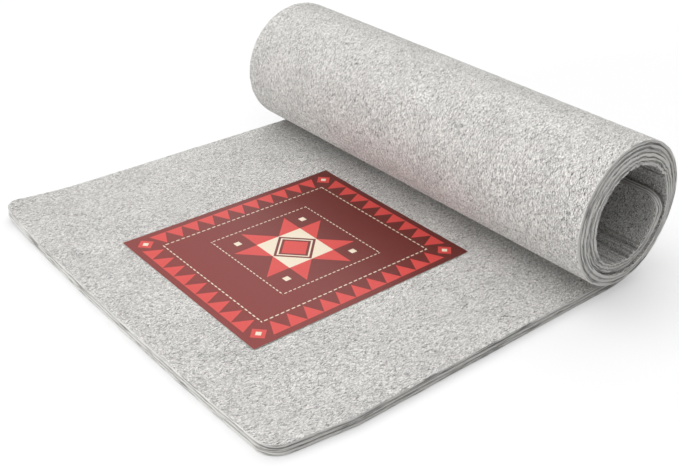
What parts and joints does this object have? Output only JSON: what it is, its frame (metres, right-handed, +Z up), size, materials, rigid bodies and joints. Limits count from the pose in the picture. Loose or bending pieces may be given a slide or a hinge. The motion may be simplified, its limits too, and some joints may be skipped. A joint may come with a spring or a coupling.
{
  "type": "wool pressing mat",
  "caption": "Thick grey wool felt pressing mat, front part flat and the rest rolled up, with a loose printed card on it; it unrolls flat for ironing.",
  "frame": {"origin": "middle of the flat part's underside, on the table", "axes": "+X from the front edge to the roll, +Y along the roll to the far long edge, +Z up"},
  "size_m": [0.539, 0.571, 0.1779],
  "materials": {
    "felt": "matt needled wool felt, light heather grey",
    "card": "satin coated printed card"
  },
  "bodies": {
    "flat_part": {"back_ply": "felt", "core_ply": "felt", "face_ply": "felt"},
    "strip_01": {"roll_strip_01": "felt"},
    "strip_02": {"roll_strip_02": "felt"},
    "strip_03": {"roll_strip_03": "felt"},
    "strip_04": {"roll_strip_04": "felt"},
    "strip_05": {"roll_strip_05": "felt"},
    "strip_06": {"roll_strip_06": "felt"},
    "strip_07": {"roll_strip_07": "felt"},
    "strip_08": {"roll_strip_08": "felt"},
    "strip_09": {"roll_strip_09": "felt"},
    "strip_10": {"roll_strip_10": "felt"},
    "strip_11": {"roll_strip_11": "felt"},
    "strip_12": {"roll_strip_12": "felt"},
    "strip_13": {"roll_strip_13": "felt"},
    "strip_14": {"roll_strip_14": "felt"},
    "strip_15": {"roll_strip_15": "felt"},
    "strip_16": {"roll_strip_16": "felt"},
    "strip_17": {"roll_strip_17": "felt"},
    "strip_18": {"roll_strip_18": "felt"},
    "strip_19": {"roll_strip_19": "felt"},
    "strip_20": {"roll_strip_20": "felt"},
    "strip_21": {"roll_strip_21": "felt"},
    "strip_22": {"roll_strip_22": "felt"},
    "strip_23": {"roll_strip_23": "felt"},
    "strip_24": {"roll_strip_24": "felt"},
    "strip_25": {"roll_strip_25": "felt"},
    "strip_26": {"roll_strip_26": "felt"},
    "strip_27": {"roll_strip_27": "felt"},
    "strip_28": {"roll_strip_28": "felt"},
    "strip_29": {"roll_strip_29": "felt"},
    "strip_30": {"roll_strip_30": "felt"},
    "strip_31": {"roll_strip_31": "felt"},
    "strip_32": {"roll_strip_32": "felt"},
    "strip_33": {"roll_strip_33": "felt"},
    "strip_34": {"roll_strip_34": "felt"},
    "strip_35": {"roll_strip_35": "felt"},
    "strip_36": {"roll_strip_36": "felt"},
    "strip_37": {"roll_strip_37": "felt"},
    "strip_38": {"roll_strip_38": "felt"},
    "strip_39": {"roll_strip_39": "felt"},
    "strip_40": {"roll_strip_40": "felt"},
    "strip_41": {"roll_strip_41": "felt"},
    "strip_42": {"roll_strip_42": "felt"},
    "strip_43": {"roll_strip_43": "felt"},
    "strip_44": {"roll_strip_44": "felt"},
    "strip_45": {"roll_strip_45": "felt"},
    "strip_46": {"roll_strip_46": "felt"},
    "strip_47": {"roll_strip_47": "felt"},
    "strip_48": {"roll_strip_48": "felt"},
    "strip_49": {"roll_strip_49": "felt"},
    "strip_50": {"roll_strip_50": "felt"},
    "strip_51": {"roll_strip_51": "felt"},
    "strip_52": {"roll_strip_52": "felt"},
    "strip_53": {"roll_strip_53": "felt"},
    "strip_54": {"roll_strip_54": "felt"},
    "card": {"printed_card": "card"}
  },
  "joints": [
    {"name": "unroll", "type": "hinge", "parent": "flat_part", "child": "strip_01", "pos_m": [0.225, 0, 0], "axis": [0, 1, 0], "range_deg": [0, 7.6]},
    {"name": "bend_02", "type": "hinge", "parent": "strip_01", "child": "strip_02", "pos_m": [0.24833, 0, 0.00311], "axis": [0, 1, 0], "range_deg": [0, 15.22]},
    {"name": "bend_03", "type": "hinge", "parent": "strip_02", "child": "strip_03", "pos_m": [0.27003, 0, 0.01223], "axis": [0, 1, 0], "range_deg": [0, 15.22]},
    {"name": "bend_04", "type": "hinge", "parent": "strip_03", "child": "strip_04", "pos_m": [0.28858, 0, 0.02672], "axis": [0, 1, 0], "range_deg": [0, 15.22]},
    {"name": "bend_05", "type": "hinge", "parent": "strip_04", "child": "strip_05", "pos_m": [0.30268, 0, 0.04557], "axis": [0, 1, 0], "range_deg": [0, 15.22]},
    {"name": "bend_06", "type": "hinge", "parent": "strip_05", "child": "strip_06", "pos_m": [0.31135, 0, 0.06745], "axis": [0, 1, 0], "range_deg": [0, 15.22]},
    {"name": "bend_07", "type": "hinge", "parent": "strip_06", "child": "strip_07", "pos_m": [0.31398, 0, 0.09085], "axis": [0, 1, 0], "range_deg": [0, 15.22]},
    {"name": "bend_08", "type": "hinge", "parent": "strip_07", "child": "strip_08", "pos_m": [0.31038, 0, 0.11411], "axis": [0, 1, 0], "range_deg": [0, 15.22]},
    {"name": "bend_09", "type": "hinge", "parent": "strip_08", "child": "strip_09", "pos_m": [0.30082, 0, 0.13561], "axis": [0, 1, 0], "range_deg": [0, 15.22]},
    {"name": "bend_10", "type": "hinge", "parent": "strip_09", "child": "strip_10", "pos_m": [0.28594, 0, 0.15386], "axis": [0, 1, 0], "range_deg": [0, 15.22]},
    {"name": "bend_11", "type": "hinge", "parent": "strip_10", "child": "strip_11", "pos_m": [0.26681, 0, 0.16757], "axis": [0, 1, 0], "range_deg": [0, 15.22]},
    {"name": "bend_12", "type": "hinge", "parent": "strip_11", "child": "strip_12", "pos_m": [0.24475, 0, 0.17578], "axis": [0, 1, 0], "range_deg": [0, 15.13]},
    {"name": "bend_13", "type": "hinge", "parent": "strip_12", "child": "strip_13", "pos_m": [0.22161, 0, 0.17793], "axis": [0, 1, 0], "range_deg": [0, 15.3]},
    {"name": "bend_14", "type": "hinge", "parent": "strip_13", "child": "strip_14", "pos_m": [0.20034, 0, 0.17419], "axis": [0, 1, 0], "range_deg": [0, 15.22]},
    {"name": "bend_15", "type": "hinge", "parent": "strip_14", "child": "strip_15", "pos_m": [0.1808, 0, 0.165], "axis": [0, 1, 0], "range_deg": [0, 15.22]},
    {"name": "bend_16", "type": "hinge", "parent": "strip_15", "child": "strip_16", "pos_m": [0.16435, 0, 0.15101], "axis": [0, 1, 0], "range_deg": [0, 15.22]},
    {"name": "bend_17", "type": "hinge", "parent": "strip_16", "child": "strip_17", "pos_m": [0.15214, 0, 0.1332], "axis": [0, 1, 0], "range_deg": [0, 15.22]},
    {"name": "bend_18", "type": "hinge", "parent": "strip_17", "child": "strip_18", "pos_m": [0.14503, 0, 0.11281], "axis": [0, 1, 0], "range_deg": [0, 15.22]},
    {"name": "bend_19", "type": "hinge", "parent": "strip_18", "child": "strip_19", "pos_m": [0.14351, 0, 0.09127], "axis": [0, 1, 0], "range_deg": [0, 15.22]},
    {"name": "bend_20", "type": "hinge", "parent": "strip_19", "child": "strip_20", "pos_m": [0.14769, 0, 0.07009], "axis": [0, 1, 0], "range_deg": [0, 15.22]},
    {"name": "bend_21", "type": "hinge", "parent": "strip_20", "child": "strip_21", "pos_m": [0.15728, 0, 0.05074], "axis": [0, 1, 0], "range_deg": [0, 15.22]},
    {"name": "bend_22", "type": "hinge", "parent": "strip_21", "child": "strip_22", "pos_m": [0.17161, 0, 0.03458], "axis": [0, 1, 0], "range_deg": [0, 15.22]},
    {"name": "bend_23", "type": "hinge", "parent": "strip_22", "child": "strip_23", "pos_m": [0.18967, 0, 0.02274], "axis": [0, 1, 0], "range_deg": [0, 15.22]},
    {"name": "bend_24", "type": "hinge", "parent": "strip_23", "child": "strip_24", "pos_m": [0.2102, 0, 0.01605], "axis": [0, 1, 0], "range_deg": [0, 15.08]},
    {"name": "bend_25", "type": "hinge", "parent": "strip_24", "child": "strip_25", "pos_m": [0.23121, 0, 0.01496], "axis": [0, 1, 0], "range_deg": [0, 15.36]},
    {"name": "bend_26", "type": "hinge", "parent": "strip_25", "child": "strip_26", "pos_m": [0.25056, 0, 0.0192], "axis": [0, 1, 0], "range_deg": [0, 15.22]},
    {"name": "bend_27", "type": "hinge", "parent": "strip_26", "child": "strip_27", "pos_m": [0.26812, 0, 0.02836], "axis": [0, 1, 0], "range_deg": [0, 15.22]},
    {"name": "bend_28", "type": "hinge", "parent": "strip_27", "child": "strip_28", "pos_m": [0.28267, 0, 0.04181], "axis": [0, 1, 0], "range_deg": [0, 15.22]},
    {"name": "bend_29", "type": "hinge", "parent": "strip_28", "child": "strip_29", "pos_m": [0.29318, 0, 0.0586], "axis": [0, 1, 0], "range_deg": [0, 15.22]},
    {"name": "bend_30", "type": "hinge", "parent": "strip_29", "child": "strip_30", "pos_m": [0.29893, 0, 0.07755], "axis": [0, 1, 0], "range_deg": [0, 15.22]},
    {"name": "bend_31", "type": "hinge", "parent": "strip_30", "child": "strip_31", "pos_m": [0.2995, 0, 0.09736], "axis": [0, 1, 0], "range_deg": [0, 15.22]},
    {"name": "bend_32", "type": "hinge", "parent": "strip_31", "child": "strip_32", "pos_m": [0.29486, 0, 0.11661], "axis": [0, 1, 0], "range_deg": [0, 15.22]},
    {"name": "bend_33", "type": "hinge", "parent": "strip_32", "child": "strip_33", "pos_m": [0.28533, 0, 0.13398], "axis": [0, 1, 0], "range_deg": [0, 15.22]},
    {"name": "bend_34", "type": "hinge", "parent": "strip_33", "child": "strip_34", "pos_m": [0.27159, 0, 0.14825], "axis": [0, 1, 0], "range_deg": [0, 15.22]},
    {"name": "bend_35", "type": "hinge", "parent": "strip_34", "child": "strip_35", "pos_m": [0.25458, 0, 0.15841], "axis": [0, 1, 0], "range_deg": [0, 15.22]},
    {"name": "bend_36", "type": "hinge", "parent": "strip_35", "child": "strip_36", "pos_m": [0.23551, 0, 0.16376], "axis": [0, 1, 0], "range_deg": [0, 15.02]},
    {"name": "bend_37", "type": "hinge", "parent": "strip_36", "child": "strip_37", "pos_m": [0.21663, 0, 0.16398], "axis": [0, 1, 0], "range_deg": [0, 15.42]},
    {"name": "bend_38", "type": "hinge", "parent": "strip_37", "child": "strip_38", "pos_m": [0.19937, 0, 0.15944], "axis": [0, 1, 0], "range_deg": [0, 15.22]},
    {"name": "bend_39", "type": "hinge", "parent": "strip_38", "child": "strip_39", "pos_m": [0.18391, 0, 0.15054], "axis": [0, 1, 0], "range_deg": [0, 15.22]},
    {"name": "bend_40", "type": "hinge", "parent": "strip_39", "child": "strip_40", "pos_m": [0.17133, 0, 0.1379], "axis": [0, 1, 0], "range_deg": [0, 15.22]},
    {"name": "bend_41", "type": "hinge", "parent": "strip_40", "child": "strip_41", "pos_m": [0.16249, 0, 0.1224], "axis": [0, 1, 0], "range_deg": [0, 15.22]},
    {"name": "bend_42", "type": "hinge", "parent": "strip_41", "child": "strip_42", "pos_m": [0.15804, 0, 0.10513], "axis": [0, 1, 0], "range_deg": [0, 15.22]},
    {"name": "bend_43", "type": "hinge", "parent": "strip_42", "child": "strip_43", "pos_m": [0.15826, 0, 0.08729], "axis": [0, 1, 0], "range_deg": [0, 15.22]},
    {"name": "bend_44", "type": "hinge", "parent": "strip_43", "child": "strip_44", "pos_m": [0.16315, 0, 0.07013], "axis": [0, 1, 0], "range_deg": [0, 15.22]},
    {"name": "bend_45", "type": "hinge", "parent": "strip_44", "child": "strip_45", "pos_m": [0.17237, 0, 0.05486], "axis": [0, 1, 0], "range_deg": [0, 15.22]},
    {"name": "bend_46", "type": "hinge", "parent": "strip_45", "child": "strip_46", "pos_m": [0.18527, 0, 0.04254], "axis": [0, 1, 0], "range_deg": [0, 15.22]},
    {"name": "bend_47", "type": "hinge", "parent": "strip_46", "child": "strip_47", "pos_m": [0.20095, 0, 0.03403], "axis": [0, 1, 0], "range_deg": [0, 15.22]},
    {"name": "bend_48", "type": "hinge", "parent": "strip_47", "child": "strip_48", "pos_m": [0.21831, 0, 0.02993], "axis": [0, 1, 0], "range_deg": [0, 15.03]},
    {"name": "bend_49", "type": "hinge", "parent": "strip_48", "child": "strip_49", "pos_m": [0.23503, 0, 0.03043], "axis": [0, 1, 0], "range_deg": [0, 15.41]},
    {"name": "bend_50", "type": "hinge", "parent": "strip_49", "child": "strip_50", "pos_m": [0.25037, 0, 0.03516], "axis": [0, 1, 0], "range_deg": [0, 15.22]},
    {"name": "bend_51", "type": "hinge", "parent": "strip_50", "child": "strip_51", "pos_m": [0.26394, 0, 0.04374], "axis": [0, 1, 0], "range_deg": [0, 15.22]},
    {"name": "bend_52", "type": "hinge", "parent": "strip_51", "child": "strip_52", "pos_m": [0.27479, 0, 0.05557], "axis": [0, 1, 0], "range_deg": [0, 15.22]},
    {"name": "bend_53", "type": "hinge", "parent": "strip_52", "child": "strip_53", "pos_m": [0.28215, 0, 0.06984], "axis": [0, 1, 0], "range_deg": [0, 15.22]},
    {"name": "bend_54", "type": "hinge", "parent": "strip_53", "child": "strip_54", "pos_m": [0.28551, 0, 0.08554], "axis": [0, 1, 0], "range_deg": [0, 15.22]},
    {"name": "card_lift", "type": "slide", "parent": "flat_part", "child": "card", "axis": [-0.5, 0, 0.866], "range_m": [0, 0.08]}
  ],
  "couplings": [
    {"joint": "bend_02", "follows": "unroll", "ratio": 2},
    {"joint": "bend_03", "follows": "unroll", "ratio": 2},
    {"joint": "bend_04", "follows": "unroll", "ratio": 2},
    {"joint": "bend_05", "follows": "unroll", "ratio": 2},
    {"joint": "bend_06", "follows": "unroll", "ratio": 2},
    {"joint": "bend_07", "follows": "unroll", "ratio": 2},
    {"joint": "bend_08", "follows": "unroll", "ratio": 2},
    {"joint": "bend_09", "follows": "unroll", "ratio": 2},
    {"joint": "bend_10", "follows": "unroll", "ratio": 2},
    {"joint": "bend_11", "follows": "unroll", "ratio": 2},
    {"joint": "bend_12", "follows": "unroll", "ratio": 1.989},
    {"joint": "bend_13", "follows": "unroll", "ratio": 2.011},
    {"joint": "bend_14", "follows": "unroll", "ratio": 2},
    {"joint": "bend_15", "follows": "unroll", "ratio": 2},
    {"joint": "bend_16", "follows": "unroll", "ratio": 2},
    {"joint": "bend_17", "follows": "unroll", "ratio": 2},
    {"joint": "bend_18", "follows": "unroll", "ratio": 2},
    {"joint": "bend_19", "follows": "unroll", "ratio": 2},
    {"joint": "bend_20", "follows": "unroll", "ratio": 2},
    {"joint": "bend_21", "follows": "unroll", "ratio": 2},
    {"joint": "bend_22", "follows": "unroll", "ratio": 2},
    {"joint": "bend_23", "follows": "unroll", "ratio": 2},
    {"joint": "bend_24", "follows": "unroll", "ratio": 1.9817},
    {"joint": "bend_25", "follows": "unroll", "ratio": 2.0183},
    {"joint": "bend_26", "follows": "unroll", "ratio": 2},
    {"joint": "bend_27", "follows": "unroll", "ratio": 2},
    {"joint": "bend_28", "follows": "unroll", "ratio": 2},
    {"joint": "bend_29", "follows": "unroll", "ratio": 2},
    {"joint": "bend_30", "follows": "unroll", "ratio": 2},
    {"joint": "bend_31", "follows": "unroll", "ratio": 2},
    {"joint": "bend_32", "follows": "unroll", "ratio": 2},
    {"joint": "bend_33", "follows": "unroll", "ratio": 2},
    {"joint": "bend_34", "follows": "unroll", "ratio": 2},
    {"joint": "bend_35", "follows": "unroll", "ratio": 2},
    {"joint": "bend_36", "follows": "unroll", "ratio": 1.974},
    {"joint": "bend_37", "follows": "unroll", "ratio": 2.026},
    {"joint": "bend_38", "follows": "unroll", "ratio": 2},
    {"joint": "bend_39", "follows": "unroll", "ratio": 2},
    {"joint": "bend_40", "follows": "unroll", "ratio": 2},
    {"joint": "bend_41", "follows": "unroll", "ratio": 2},
    {"joint": "bend_42", "follows": "unroll", "ratio": 2},
    {"joint": "bend_43", "follows": "unroll", "ratio": 2},
    {"joint": "bend_44", "follows": "unroll", "ratio": 2},
    {"joint": "bend_45", "follows": "unroll", "ratio": 2},
    {"joint": "bend_46", "follows": "unroll", "ratio": 2},
    {"joint": "bend_47", "follows": "unroll", "ratio": 2},
    {"joint": "bend_48", "follows": "unroll", "ratio": 1.975},
    {"joint": "bend_49", "follows": "unroll", "ratio": 2.025},
    {"joint": "bend_50", "follows": "unroll", "ratio": 2},
    {"joint": "bend_51", "follows": "unroll", "ratio": 2},
    {"joint": "bend_52", "follows": "unroll", "ratio": 2},
    {"joint": "bend_53", "follows": "unroll", "ratio": 2},
    {"joint": "bend_54", "follows": "unroll", "ratio": 2}
  ]
}
